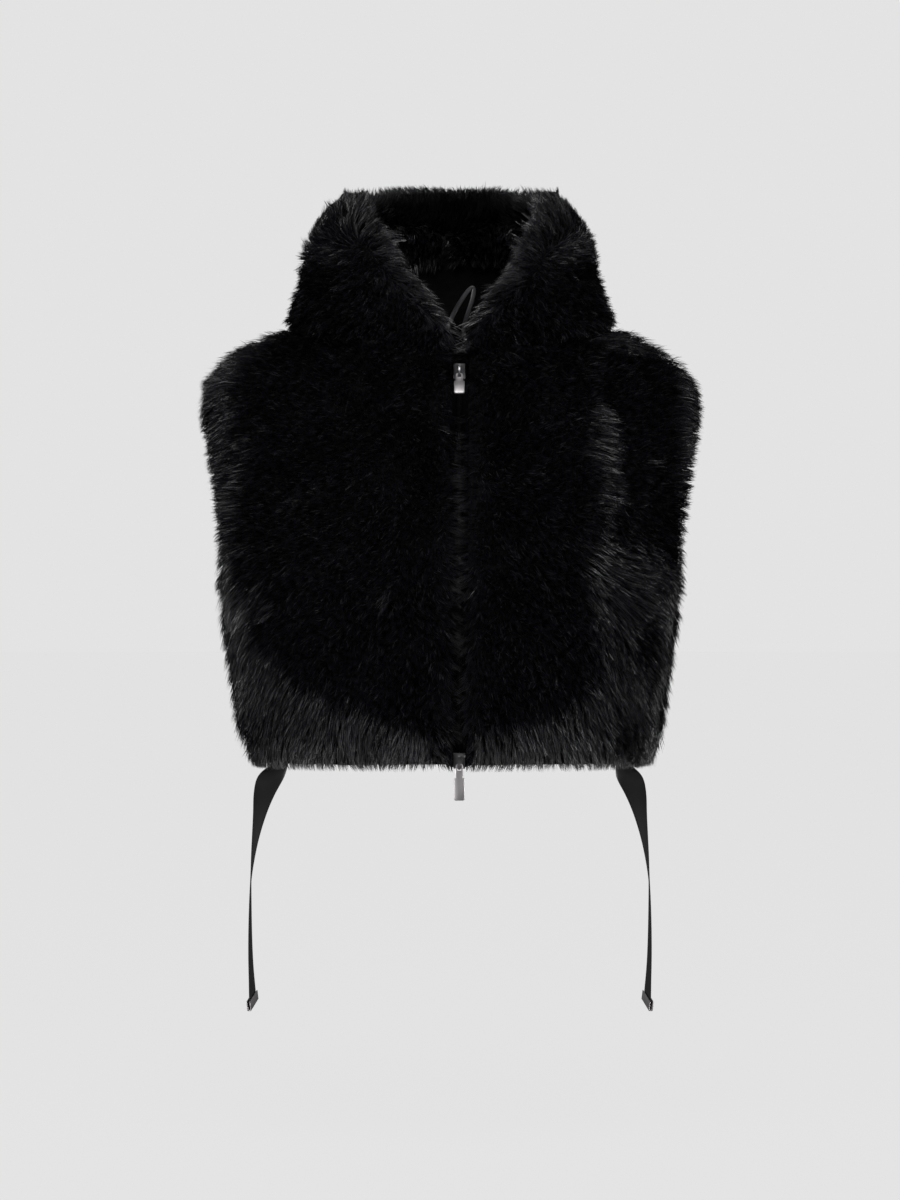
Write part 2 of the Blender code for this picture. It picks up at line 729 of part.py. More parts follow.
def build():
    clear_scene()
    edges = free_edges()
    levels = body_levels()
    for name, side in (("front_left", 1), ("front_right", -1)):
        fur_piece(name, seam_apart(front_grid(side, levels), -1, -SEAM_LEVEL), edges)
    fur_piece("back", seam_apart(back_grid(levels), -1, -SEAM_LEVEL), edges)
    fur_piece("collar_outer", collar_grid(COLLAR_LEVELS), edges)
    facing_levels = [v for v in COLLAR_LEVELS if v >= FACING_EDGE]
    facing_edges = np.concatenate([edges, lower_facing_edge()])
    layer_inside("collar_inner", collar_grid(facing_levels), LAYER, INNER_PILE, facing_edges, "fur")
    layer_inside("neck_lining", collar_grid(LINING_LEVELS), LINING_GAP, SATIN, None, "satin")
    facing_fold()

    for name, side in (("zip_tape_left", 1), ("zip_tape_right", -1)):
        zip_tape(name, side)
    pull("pull_top", slider("slider_top", TOP_PIVOT_Z, 1), TOP_PULL_TILT)
    pull("pull_bottom", slider("slider_bottom", BOTTOM_PIVOT_Z, -1), 0.0)
    for word, side in (("left", 1), ("right", -1)):
        tie("tie_" + word, side)
        clamp("tie_clamp_" + word, side)


build()
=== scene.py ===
# %% [markdown]
# # A cropped faux fur vest
# The real vest is sewn from long black faux fur, with a funnel collar that stands open in a V, a
# two-way zip and two satin ribbons. This lesson dresses a plain model of it, which gives every size.

# %% Load the model
import math
from collections import namedtuple

import bpy
import numpy as np
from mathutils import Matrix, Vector
from mathutils.bvhtree import BVHTree
from mathutils.kdtree import KDTree


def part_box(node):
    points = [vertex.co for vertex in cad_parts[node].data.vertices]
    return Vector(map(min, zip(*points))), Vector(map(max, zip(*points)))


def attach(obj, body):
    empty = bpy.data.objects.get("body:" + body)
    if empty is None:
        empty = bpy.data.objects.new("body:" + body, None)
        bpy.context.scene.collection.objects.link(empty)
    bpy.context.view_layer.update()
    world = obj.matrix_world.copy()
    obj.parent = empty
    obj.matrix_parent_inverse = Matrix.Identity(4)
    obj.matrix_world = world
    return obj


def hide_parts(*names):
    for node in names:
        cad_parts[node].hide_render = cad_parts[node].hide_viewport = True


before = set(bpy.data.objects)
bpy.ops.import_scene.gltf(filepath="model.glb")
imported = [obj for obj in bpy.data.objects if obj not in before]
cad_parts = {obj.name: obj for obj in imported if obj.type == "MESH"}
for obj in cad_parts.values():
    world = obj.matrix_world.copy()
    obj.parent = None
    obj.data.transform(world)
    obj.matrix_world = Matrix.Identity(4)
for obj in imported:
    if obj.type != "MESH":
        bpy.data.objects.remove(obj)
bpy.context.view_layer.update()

# %% [markdown]
# ## The camera
# The photo looks at the vest from straight in front, from about the middle of its height. A long
# lens far away keeps the sides from spreading. The lens follows from how much height the frame spans.

# %% Place the camera
CAMERA_DISTANCE = 3.2
CAMERA_HEIGHT = -0.262
FRAME_HEIGHT = 1.2
SENSOR = 36.0

camera_data = bpy.data.cameras.new("camera")
camera = bpy.data.objects.new("camera", camera_data)
bpy.context.scene.collection.objects.link(camera)
camera.location = (0, -CAMERA_DISTANCE, CAMERA_HEIGHT)
camera.rotation_euler = (math.radians(90), 0, 0)
camera_data.sensor_width = SENSOR
camera_data.lens = SENSOR * CAMERA_DISTANCE / FRAME_HEIGHT
bpy.context.scene.camera = camera
print("lens:", camera_data.lens, "mm")

# %% [markdown]
# ## The studio
# Black fur is drawn by its reflections alone. In the photo the middle is almost pure black and the
# hem, the sides and the collar's rim are greyer, so the light comes from both sides, from above and
# from behind, and hardly any comes from the camera's side. Sky and floor look pale to the camera, but
# as light the sky is a soft slope from dark in front to bright at the back, and the floor is dim.

# %% Make the sky, the floor and the lights
PALE = 0.768
FLOOR_GLOW = 0.757
BOUNCE = 0.05
FLOOR_HEIGHT = -0.80
FLOOR_SIZE = 60.0
FRONT_GLOW = 0.01
BACK_GLOW = 0.13
GLOW_SLOPE = (-0.75, 0.25)

bpy.context.scene.view_settings.view_transform = "Standard"
world = bpy.data.worlds.new("studio")
bpy.context.scene.world = world
world.use_nodes = True
sky = world.node_tree
backdrop = sky.nodes["Background"]
direction = sky.nodes.new("ShaderNodeTexCoord")
split = sky.nodes.new("ShaderNodeSeparateXYZ")
slope = sky.nodes.new("ShaderNodeMapRange")
slope.interpolation_type = "SMOOTHSTEP"
slope.inputs["From Min"].default_value = GLOW_SLOPE[0]
slope.inputs["From Max"].default_value = GLOW_SLOPE[1]
slope.inputs["To Min"].default_value = FRONT_GLOW
slope.inputs["To Max"].default_value = BACK_GLOW
seen = sky.nodes.new("ShaderNodeLightPath")
glow = sky.nodes.new("ShaderNodeMix")
glow.inputs["B"].default_value = PALE
sky.links.new(direction.outputs["Generated"], split.inputs["Vector"])
sky.links.new(split.outputs["Y"], slope.inputs["Value"])
sky.links.new(slope.outputs["Result"], glow.inputs["A"])
sky.links.new(seen.outputs["Is Camera Ray"], glow.inputs["Factor"])
sky.links.new(glow.outputs["Result"], backdrop.inputs["Strength"])
backdrop.inputs["Color"].default_value = (1, 1, 1, 1)

bpy.ops.object.select_all(action="DESELECT")
bpy.ops.mesh.primitive_plane_add(size=FLOOR_SIZE, location=(0, 0, FLOOR_HEIGHT))
floor = bpy.context.object
floor.name = "floor"
floor_finish = bpy.data.materials.new("pale_floor")
floor_finish.use_nodes = True
floor_shader = floor_finish.node_tree.nodes["Principled BSDF"]
floor_shader.inputs["Base Color"].default_value = (0.03, 0.03, 0.03, 1)
floor_shader.inputs["Roughness"].default_value = 1.0
floor_shader.inputs["Specular IOR Level"].default_value = 0.0
floor_shader.inputs["Emission Color"].default_value = (1, 1, 1, 1)
floor_nodes, floor_links = floor_finish.node_tree.nodes, floor_finish.node_tree.links
floor_seen = floor_nodes.new("ShaderNodeLightPath")
floor_glow = floor_nodes.new("ShaderNodeMix")
floor_glow.inputs["A"].default_value = BOUNCE
floor_glow.inputs["B"].default_value = FLOOR_GLOW
floor_links.new(floor_seen.outputs["Is Camera Ray"], floor_glow.inputs["Factor"])
floor_links.new(floor_glow.outputs["Result"], floor_shader.inputs["Emission Strength"])
floor.data.materials.append(floor_finish)

Lamp = namedtuple("Lamp", "name place aim size power")
LAMPS = [
    Lamp("left_side", (-1.7, -1.4, -0.42), (0.0, 0.0, -0.40), 0.9, 32.0),
    Lamp("right_side", (1.7, -1.4, -0.42), (0.0, 0.0, -0.40), 0.9, 27.0),
    Lamp("top", (0.0, -0.95, 1.65), (0.0, 0.0, 0.0), 0.9, 19.0),
    Lamp("front", (0.1, -2.6, -0.9), (0.0, 0.0, -0.30), 0.8, 2.2),
]
for lamp in LAMPS:
    light = bpy.data.lights.new(lamp.name, "AREA")
    light.size = lamp.size
    light.energy = lamp.power
    holder = bpy.data.objects.new(lamp.name, light)
    bpy.context.scene.collection.objects.link(holder)
    holder.location = lamp.place
    holder.rotation_euler = (Vector(lamp.aim) - Vector(lamp.place)).to_track_quat("-Z", "Y").to_euler()
print("lamps:", len(LAMPS))

# %% [markdown]
# ## Finishes
# Each finish is a Principled shader. Its colour and bump come from noise on Object coordinates, so
# the pattern sticks to the piece in every view. Values that are the same all over sit on the
# shader's own sockets.

# %% A helper for finishes
def finish(name, colour, roughness, metallic=0.0, **sockets):
    """A new material; sockets are further values on its shader, with _ for spaces."""
    made = bpy.data.materials.new(name)
    made.use_nodes = True
    shader = made.node_tree.nodes["Principled BSDF"]
    shader.inputs["Base Color"].default_value = (*colour, 1)
    shader.inputs["Roughness"].default_value = roughness
    shader.inputs["Metallic"].default_value = metallic
    for socket, value in sockets.items():
        shader.inputs[socket.replace("_", " ")].default_value = value
    return made


def noise_on(material, scale, stretch=(1, 1, 1), detail=3.0):
    """A noise texture on Object coordinates, stretched by a Mapping node."""
    nodes, links = material.node_tree.nodes, material.node_tree.links
    place = nodes.new("ShaderNodeTexCoord")
    mapping = nodes.new("ShaderNodeMapping")
    mapping.inputs["Scale"].default_value = stretch
    noise = nodes.new("ShaderNodeTexNoise")
    noise.inputs["Scale"].default_value = scale
    noise.inputs["Detail"].default_value = detail
    links.new(place.outputs["Object"], mapping.inputs["Vector"])
    links.new(mapping.outputs["Vector"], noise.inputs["Vector"])
    return noise


def vary_colour(material, noise, dark, light):
    """Let the noise move the colour between two shades."""
    nodes, links = material.node_tree.nodes, material.node_tree.links
    ramp = nodes.new("ShaderNodeValToRGB")
    ramp.color_ramp.elements[0].color = (*dark, 1)
    ramp.color_ramp.elements[0].position = 0.3
    ramp.color_ramp.elements[1].color = (*light, 1)
    ramp.color_ramp.elements[1].position = 0.7
    links.new(noise.outputs["Fac"], ramp.inputs["Fac"])
    links.new(ramp.outputs["Color"], nodes["Principled BSDF"].inputs["Base Color"])


def vary_roughness(material, noise, low, high):
    """Let the noise move the roughness between two values."""
    nodes, links = material.node_tree.nodes, material.node_tree.links
    span = nodes.new("ShaderNodeMapRange")
    span.inputs["To Min"].default_value = low
    span.inputs["To Max"].default_value = high
    links.new(noise.outputs["Fac"], span.inputs["Value"])
    links.new(span.outputs["Result"], nodes["Principled BSDF"].inputs["Roughness"])


def raise_bump(material, noise, distance, strength=1.0, under=None):
    """Turn the noise into small relief, on top of another bump where one is given."""
    nodes, links = material.node_tree.nodes, material.node_tree.links
    bump = nodes.new("ShaderNodeBump")
    bump.inputs["Distance"].default_value = distance
    bump.inputs["Strength"].default_value = strength
    links.new(noise.outputs["Fac"], bump.inputs["Height"])
    if under:
        links.new(under.outputs["Normal"], bump.inputs["Normal"])
    links.new(bump.outputs["Normal"], nodes["Principled BSDF"].inputs["Normal"])
    return bump


# %% Mix the finishes
fibre = finish("fur_fibre", (0.0036, 0.0031, 0.0052), 0.42, Specular_IOR_Level=0.26)
vary_colour(fibre, noise_on(fibre, 45), (0.0016, 0.0013, 0.0028), (0.0056, 0.0050, 0.0082))

# Guard hairs are glossier and lighter than the fibre. The lighter colour is a painted highlight, since these
# hairs are put where the light falls.
guard_hair_painted_sheen = finish("guard_hair_painted_sheen", (0.014, 0.0135, 0.0155), 0.30, Specular_IOR_Level=1.0)
vary_colour(guard_hair_painted_sheen, noise_on(guard_hair_painted_sheen, 60), (0.004, 0.004, 0.005), (0.046, 0.045, 0.050))

underfur = finish("underfur", (0.002, 0.0018, 0.0028), 0.95, Specular_IOR_Level=0.15)
raise_bump(underfur, noise_on(underfur, 420, (1, 1, 0.3)), 0.002)

satin = finish("satin_lining", (0.0015, 0.0015, 0.002), 0.36, Specular_IOR_Level=0.10)
vary_colour(satin, noise_on(satin, 30), (0.001, 0.001, 0.0014), (0.002, 0.002, 0.0026))
weave = raise_bump(satin, noise_on(satin, 2600, (1, 1, 0.12)), 0.0002, 0.35)
raise_bump(satin, noise_on(satin, 38), 0.0035, 0.55, weave)

# The turned edge is the lining's black satin, painted many times lighter as a highlight along the fold.
turned_edge_painted_highlight = finish("turned_satin_edge_painted_highlight", (0.040, 0.039, 0.043), 0.30, Specular_IOR_Level=0.8)
vary_roughness(turned_edge_painted_highlight, noise_on(turned_edge_painted_highlight, 90, (1, 1, 0.2)), 0.26, 0.38)
raise_bump(turned_edge_painted_highlight, noise_on(turned_edge_painted_highlight, 2600, (1, 1, 0.12)), 0.0002, 0.35)

ribbon = finish("satin_ribbon", (0.009, 0.009, 0.010), 0.36, Specular_IOR_Level=0.4)
vary_roughness(ribbon, noise_on(ribbon, 60, (1, 1, 0.2)), 0.30, 0.42)
raise_bump(ribbon, noise_on(ribbon, 3000, (0.2, 0.2, 1)), 0.00015, 0.4)

tape = finish("zip_tape_weave", (0.0012, 0.0012, 0.0018), 0.9, Specular_IOR_Level=0.05)
raise_bump(tape, noise_on(tape, 1500, (1, 1, 0.5)), 0.0004, 0.8)

teeth_resin = finish("teeth_resin", (0.0015, 0.0015, 0.002), 0.5, Specular_IOR_Level=0.1)
vary_roughness(teeth_resin, noise_on(teeth_resin, 500), 0.42, 0.6)

dark_metal = finish("dark_metal", (0.24, 0.235, 0.245), 0.30, 1.0)
vary_roughness(dark_metal, noise_on(dark_metal, 300), 0.24, 0.40)

silver = finish("silver_metal", (0.66, 0.63, 0.64), 0.38, 1.0)
vary_roughness(silver, noise_on(silver, 260, (1, 1, 0.1)), 0.34, 0.46)
raise_bump(silver, noise_on(silver, 900, (1, 1, 0.06)), 0.00005, 0.4)
print("finishes:", len(bpy.data.materials))

# %% [markdown]
# ## Reading the plain panels
# A copy of a panel has its loose triangles merged, so that it is one closed wall. Rays shot back
# through that wall from its furry face tell how deep the pile is at each point.

# %% Helpers for selecting, copying and measuring
MERGE = 0.00002
COLLAR_NODES = ("collar_outer", "collar_inner")
SHOULDER_AXIS = -0.12
DEEPEST = 0.03
THINNEST = 0.004
JUST_INSIDE = 0.0004

# A face counts as furry above FURRY, and as a cut edge down to EDGE, by how far it faces outward.
FURRY = 0.12
EDGE = -0.4
LOWEST_SLOPE = -0.5

Wall = namedtuple("Wall", "points corners normals depth furry edge")


def activate(piece):
    """Select one piece alone."""
    bpy.ops.object.select_all(action="DESELECT")
    piece.select_set(True)
    bpy.context.view_layer.objects.active = piece


def merged_copy(node, name):
    """A copy of a model node, as one closed mesh of four-sided faces where they fit."""
    piece = bpy.data.objects.new(name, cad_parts[node].data.copy())
    bpy.context.scene.collection.objects.link(piece)
    activate(piece)
    bpy.ops.mesh.customdata_custom_splitnormals_clear()
    bpy.ops.object.mode_set(mode="EDIT")
    bpy.ops.mesh.select_all(action="SELECT")
    bpy.ops.mesh.remove_doubles(threshold=MERGE)
    bpy.ops.mesh.tris_convert_to_quads(face_threshold=math.radians(60), shape_threshold=math.radians(60))
    bpy.ops.object.mode_set(mode="OBJECT")
    piece.data.materials.clear()
    return piece


def arrays(piece):
    """The corners of a mesh and its triangles, as arrays."""
    mesh = piece.data
    mesh.calc_loop_triangles()
    points = np.empty(len(mesh.vertices) * 3)
    mesh.vertices.foreach_get("co", points)
    corners = np.empty(len(mesh.loop_triangles) * 3, dtype=np.int64)
    mesh.loop_triangles.foreach_get("vertices", corners)
    return points.reshape(-1, 3), corners.reshape(-1, 3)


def unit(vectors):
    """Each vector at length 1."""
    return vectors / np.maximum(np.linalg.norm(vectors, axis=-1, keepdims=True), 1e-9)


def outward(places, node):
    """The way out of the hollow at each place, or into it on the inner collar."""
    axis = np.zeros_like(places)
    axis[:, 2] = places[:, 2] if node in COLLAR_NODES else np.minimum(places[:, 2], SHOULDER_AXIS)
    towards = -1 if node == "collar_inner" else 1
    return towards * unit(places - axis)


def away_from_middle(places, node):
    """Straight forward in front and straight backward behind, or the reverse inside the collar."""
    towards = -1 if node == "collar_inner" else 1
    return np.sign(places[:, 1:2]) * (0, towards, 0)


def facing_out(places, normals, node):
    """How far each normal points outward."""
    return (normals * outward(places, node)).sum(axis=1)


def vertex_normals(points, corners, cross):
    """Each point's normal, from the faces given."""
    normals = np.zeros_like(points)
    for i in range(3):
        np.add.at(normals, corners[:, i], cross)
    return unit(normals)


def read_wall(node):
    """A panel's furry face and its cut edges: their triangles, their normals, and the pile's depth."""
    copy = merged_copy(node, "measured_" + node)
    points, corners = arrays(copy)
    bpy.data.objects.remove(copy)
    a, b, c = (points[corners[:, i]] for i in range(3))
    cross = np.cross(b - a, c - a)
    out = facing_out((a + b + c) / 3, unit(cross), node)
    level = unit(cross)[:, 2]
    lowest = -1 if node == "collar_inner" else LOWEST_SLOPE
    furry = out > FURRY
    edge = (out > EDGE) & (out <= FURRY) & (level >= lowest)
    normals = vertex_normals(points, corners[furry], cross[furry])
    tree = BVHTree.FromPolygons(points.tolist(), corners.tolist())
    depth = np.zeros(len(points))
    for i in np.unique(corners[furry]):
        n = Vector(normals[i])
        start = Vector(points[i]) - n * JUST_INSIDE
        hit = tree.ray_cast(start, -n, DEEPEST)
        depth[i] = hit[3] if hit[0] else THINNEST
    return Wall(points, corners, normals, depth, furry, edge)


FUR_NODES = ("front_left", "front_right", "back", "collar_outer", "collar_inner")
walls = {node: read_wall(node) for node in FUR_NODES}
for node, wall in walls.items():
    print(node, "pile", round(float(wall.depth.max()) * 1000, 1), "mm,", int(wall.furry.sum()), "furry faces")

# %% [markdown]
# ## The cloth under the fur
# Faux fur is a knitted backing with a dense, short underfur and long guard hairs. The backing, its
# satin lining and the underfur are one closed wall here: the panel's furry face sinks to a good third
# of the pile, is smoothed, and is pushed into soft lumps. Inside it stays the satin lining. Its
# creases are placed one by one around the body: some long, some short, some deep, some faint.

# %% Make the five panels
UNDERFUR = 0.38
LUMP = 0.0022
LUMP_SIZE = 0.035
SATIN_SIDE = -0.3

Crease = namedtuple("Crease", "turn lean low high width depth")
LINING_CREASES = [
    Crease(12, 0.10, -0.43, -0.22, 0.050, 0.0030),
    Crease(31, -0.15, -0.36, -0.12, 0.038, 0.0018),
    Crease(58, 0.05, -0.44, -0.30, 0.060, 0.0034),
    Crease(77, 0.20, -0.30, -0.08, 0.042, 0.0022),
    Crease(103, -0.08, -0.43, -0.17, 0.055, 0.0028),
    Crease(139, 0.12, -0.40, -0.29, 0.036, 0.0016),
    Crease(166, -0.20, -0.44, -0.21, 0.052, 0.0032),
    Crease(-164, 0.14, -0.42, -0.26, 0.040, 0.0020),
    Crease(-133, -0.10, -0.43, -0.15, 0.058, 0.0030),
    Crease(-112, 0.06, -0.31, -0.10, 0.036, 0.0015),
    Crease(-74, -0.12, -0.44, -0.27, 0.048, 0.0026),
    Crease(-49, 0.18, -0.37, -0.11, 0.044, 0.0024),
    Crease(-18, -0.06, -0.43, -0.24, 0.060, 0.0031),
]


def joined_skin(parts):
    """One search tree over the faces of several walls."""
    points, corners, count = [], [], 0
    for wall in parts:
        points.append(wall.points)
        corners.append(wall.corners + count)
        count += len(wall.points)
    return BVHTree.FromPolygons(np.vstack(points).tolist(), np.vstack(corners).tolist())


def ripple(points, size, seed):
    """A smooth uneven field from -1 to 1 with bumps of about one size."""
    rng = np.random.default_rng(seed)
    field = np.zeros(len(points))
    for _ in range(7):
        wave = unit(rng.normal(size=3)) * 2 * math.pi / (size * rng.uniform(0.7, 1.6))
        field += np.sin(points @ wave + rng.uniform(0, 2 * math.pi))
    return field / 4


def set_points(piece, points):
    """Move the points of a piece to new places."""
    piece.data.vertices.foreach_set("co", points.ravel())
    piece.data.update()


def smooth_finer(piece, levels):
    """Round a piece with a Subdivision Surface modifier and apply it."""
    activate(piece)
    modifier = piece.modifiers.new("rounder", "SUBSURF")
    modifier.levels = levels
    modifier.render_levels = levels
    bpy.ops.object.modifier_apply(modifier=modifier.name)
    bpy.ops.object.shade_smooth()


def creased(points, creases):
    """How far the creases raise each point. Each runs up the body at its own turn, and leans a little."""
    turn = np.degrees(np.arctan2(points[:, 1], points[:, 0]))
    lift = np.zeros(len(points))
    for crease in creases:
        height = (points[:, 2] - crease.low) / (crease.high - crease.low)
        away = (turn - crease.turn - math.degrees(crease.lean) * height + 180) % 360 - 180
        ridge = np.exp(-((np.radians(away) / crease.width) ** 2))
        lift += crease.depth * ridge * np.sin(math.pi * np.clip(height, 0, 1)) ** 0.7
    return lift


def wear(piece, material, faces=None):
    """Give a piece its finish: all over, or on the faces chosen."""
    piece.data.materials.append(material)
    if faces is not None:
        slot = len(piece.data.materials) - 1
        for face, chosen in zip(piece.data.polygons, faces):
            if chosen:
                face.material_index = slot


def point_normals(piece):
    """The normal at each point of a piece."""
    normals = np.empty(len(piece.data.vertices) * 3)
    piece.data.vertices.foreach_get("normal", normals)
    return normals.reshape(-1, 3)


def face_arrays(piece):
    """The middle and the normal of each face of a piece."""
    count = len(piece.data.polygons)
    middles, normals = np.empty(count * 3), np.empty(count * 3)
    piece.data.polygons.foreach_get("center", middles)
    piece.data.polygons.foreach_get("normal", normals)
    return middles.reshape(-1, 3), normals.reshape(-1, 3)


def sunk_points(wall):
    """The wall's points with the furry face lowered to the underfur."""
    return wall.points - wall.normals * (wall.depth * (1 - UNDERFUR))[:, None]


def make_panel(node):
    """A panel's cloth: underfur outside, satin inside."""
    wall = walls[node]
    piece = merged_copy(node, node + "_cloth")
    set_points(piece, sunk_points(wall))
    smooth_finer(piece, 1)
    points, _ = arrays(piece)
    normals = point_normals(piece)
    out = facing_out(points, normals, node)
    lift = ripple(points, LUMP_SIZE, 3) * LUMP * np.clip(out, 0, 1)
    if node not in COLLAR_NODES:
        lift += creased(points, LINING_CREASES) * np.clip(-out, 0, 1)
    set_points(piece, points + normals * lift[:, None])
    middles, face_normals = face_arrays(piece)
    wear(piece, underfur)
    wear(piece, satin, facing_out(middles, face_normals, node) < SATIN_SIDE)
    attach(piece, "root")
    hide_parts(node)
    return piece


skin = joined_skin(walls.values())
cloth = {node: make_panel(node) for node in FUR_NODES}
print("cloth faces:", {node: len(piece.data.polygons) for node, piece in cloth.items()})

# %% [markdown]
# ## Which way the fur is brushed
# The photo shows the hair brushed out from the chest to the sides and down to the hem, up at the
# collar's rim, and towards the opening along the V. Each rule below is a push, and the pushes add
# up. In the middle of the chest the hair stands up towards whoever looks at it, so it shows only its
# tips and stays almost black. Elsewhere it lies flatter and catches the light along its length.

# %% Brushing directions
ZIP_X = float(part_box("zip_tape_left")[0].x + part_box("zip_tape_right")[1].x) / 2
HEM = float(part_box("front_left")[0].z)

# Half the width of the collar's V at these heights.
V_HEIGHTS = (-0.019, 0.003, 0.027, 0.050, 0.073, 0.098, 0.122)
V_HALVES = (0.0085, 0.010, 0.026, 0.048, 0.0625, 0.077, 0.083)

# How far the standing hair reaches to each side, at these heights.
DARK_HEIGHTS = (-0.390, -0.370, -0.350, -0.325, -0.290, -0.180, -0.075, -0.045)
DARK_RIGHT = (-0.015, -0.088, -0.132, -0.165, -0.200, -0.222, -0.222, -0.205)
DARK_LEFT = (0.030, 0.100, 0.135, 0.146, 0.150, 0.145, 0.138, 0.155)

# The hair stands again over the left shoulder and flank, and in a few small spots low down.
FLANK_HEIGHTS = (-0.110, -0.050)
FLANK_STARTS = (0.147, 0.133)
FLANK_END = 0.226
FLANK_LOW = -0.235
FLANK_HIGH = -0.020
DARK_SPOTS = [(-0.197, -0.395, 0.013, 0.026), (0.167, -0.388, 0.017, 0.022), (0.186, -0.300, 0.014, 0.030)]

# Small places where the chest's hair lies down and shows as a wisp.
WISP_SIZE = 0.026
WISPS = (0.95, 1.45)

# How hard the body's hair is pushed to the sides, and together over the zip, and how wide that band is.
TO_SIDES = 1.25
OVER_ZIP = 1.7
ZIP_BAND = 0.013
# How far the hair of the back half stands.
BACK_STANDING = 0.45


def ramp_up(values, low, high):
    """0 below low, 1 above high, and a soft slope between them."""
    t = np.clip((values - low) / (high - low), 0, 1)
    return t * t * (3 - 2 * t)


# Each brushing rule returns the way, how far the hair stands, and a painted sheen share: how many lighter
# guard hairs go there, as painted highlight where the light falls.
def brushed_body(p):
    """Out to the sides and down, more steeply towards the hem, and together over the zip."""
    x, y, z = p.T
    front = ramp_up(-y, -0.01, 0.03)
    fall = ramp_up(-z, 0.14, 0.36)
    hem = ramp_up(-z, 0.37, 0.415)
    off_zip = x - ZIP_X
    over_zip = np.exp(-((off_zip / ZIP_BAND) ** 2)) * front
    vx = TO_SIDES * np.clip(x / 0.16, -1, 1) * (1 - 0.45 * fall) * (1 - 0.8 * hem)
    vx -= np.sign(off_zip) * OVER_ZIP * over_zip
    vy = 0.5 * np.sign(y) * ramp_up(z, -0.12, -0.04)
    vz = -0.30 - 1.25 * fall - 0.6 * hem
    waver = ripple(p, 0.09, 41) * 0.014 + ripple(p, 0.03, 44) * 0.010
    reach_left = np.interp(z, DARK_HEIGHTS, DARK_LEFT) + waver
    reach_right = np.interp(z, DARK_HEIGHTS, DARK_RIGHT) + waver
    chest = ramp_up(reach_left - x, -0.010, 0.022) * ramp_up(x - reach_right, -0.012, 0.03)
    flank = ramp_up(x + waver - np.interp(z, FLANK_HEIGHTS, FLANK_STARTS), 0, 0.012)
    flank *= 1 - ramp_up(x, FLANK_END - 0.012, FLANK_END)
    flank *= ramp_up(z + waver, FLANK_LOW, FLANK_LOW + 0.04) * (z < FLANK_HIGH)
    chest = np.maximum(chest, flank)
    chest = chest * (1 - 0.8 * ramp_up(ripple(p, WISP_SIZE, 43), *WISPS))
    for spot_x, spot_z, half_x, half_z in DARK_SPOTS:
        chest = np.maximum(chest, np.exp(-(((x - spot_x) / half_x) ** 2) - ((z - spot_z) / half_z) ** 2))
    standing = np.where(y < 0, chest * front * (1 - 0.6 * over_zip), BACK_STANDING * (1 - hem))
    # Painted highlight: more lighter hairs on the hem band and where the hair lies flat. Painted shade: few
    # of them over the zip.
    painted_sheen = 0.12 + 0.75 * ramp_up(-z, 0.370, 0.415) + 0.22 * (1 - chest) * front
    painted_sheen *= 1 - ramp_up(over_zip, 0.05, 0.5)
    return np.stack([vx, vy, vz], axis=1), np.clip(standing, 0, 1), painted_sheen


def brushed_collar(p):
    """Up at the rim, down at the neck, and towards the opening along the V."""
    x, y, z = p.T
    up = ramp_up(z, 0.045, 0.11)
    off_zip = x - ZIP_X
    edge = np.interp(z, V_HEIGHTS, V_HALVES)
    band = np.interp(z, (-0.010, 0.035), (0.010, 0.022))
    near_v = np.exp(-(((np.abs(off_zip) - edge) / band) ** 2)) * (y < 0)
    throat = 1 - ramp_up(z, -0.004, 0.014)
    near_v *= 1 - throat * (1 - np.exp(-((off_zip / 0.0125) ** 2)))
    vx = 0.9 * x / 0.14 - np.sign(off_zip) * 2.6 * near_v
    vy = 0.3 * np.sign(y)
    vz = -0.95 + 1.9 * up + 0.5 * near_v
    waver = ripple(p, 0.07, 42) * 0.15
    seam = 0.5 * (1 - ramp_up(z, -0.005, 0.018)) * ramp_up(np.abs(x), 0.10, 0.15)
    standing = ((1 - 0.85 * near_v) * (1 - ramp_up(z, 0.055, 0.10)) + waver) * (1 - seam)
    # Painted highlight: more lighter hairs along the V and at the rim.
    painted_sheen = 0.15 + 0.5 * near_v + 0.35 * ramp_up(z, 0.08, 0.14)
    return np.stack([vx, vy, vz], axis=1), np.clip(standing, 0, 1), painted_sheen


def brushed_inner(p):
    """Inside the collar: up at the rim, down over the facing's lower edge, and in to the back seam."""
    x, y, z = p.T
    up = ramp_up(z, 0.110, 0.135)
    seam = np.exp(-(((x - 0.001) / 0.006) ** 2)) * (y > 0)
    low = 1 - ramp_up(z, 0.075, 0.10)
    vx = -0.35 * seam + 0.2 * low * np.sign(x)
    vy = -1.0 * seam - 0.7 * low
    vz = -1.0 + 2.0 * up
    standing = 0.9 * (1 - up) * (1 - low) * (1 - seam)
    # Painted highlight: more lighter hairs at the back seam, the facing's lower edge and the rim.
    painted_sheen = 0.12 + 0.8 * np.maximum(np.maximum(seam, low), up)
    return np.stack([vx, vy, vz], axis=1), standing, painted_sheen


BRUSHED = {
    "front_left": brushed_body,
    "front_right": brushed_body,
    "back": brushed_body,
    "collar_outer": brushed_collar,
    "collar_inner": brushed_inner,
}

# %% [markdown]
# ## The long hairs
# A hair here is a narrow blade with one bend, and its normals fan out across its width, so that it
# shades like a round fibre. Tens of thousands of them are joined in one mesh for each panel, worked
# out with arrays. Roots are scattered over the furry face and the cut edges, each hair follows the
# brushing, and near hairs lean to a shared tip so that they form locks. Last, hairs that stand too
# high are pressed down, the hem and the rim are trimmed, and the hair is parted at the pulls.

# %% Grow a panel's pile
Pile = namedtuple("Pile", "node count seed")
PILES = [
    Pile("front_left", 60000, 11),
    Pile("front_right", 60000, 12),
    Pile("back", 62000, 13),
    Pile("collar_outer", 60000, 14),
    Pile("collar_inner", 42000, 15),
]
HAIR = 0.00030
EDGE_PILE = 0.0095
# A tip may stand this far off the plain model, and inside the collar it may hang further.
TUFT = (0.0005, 0.0085)
HANG = 0.013
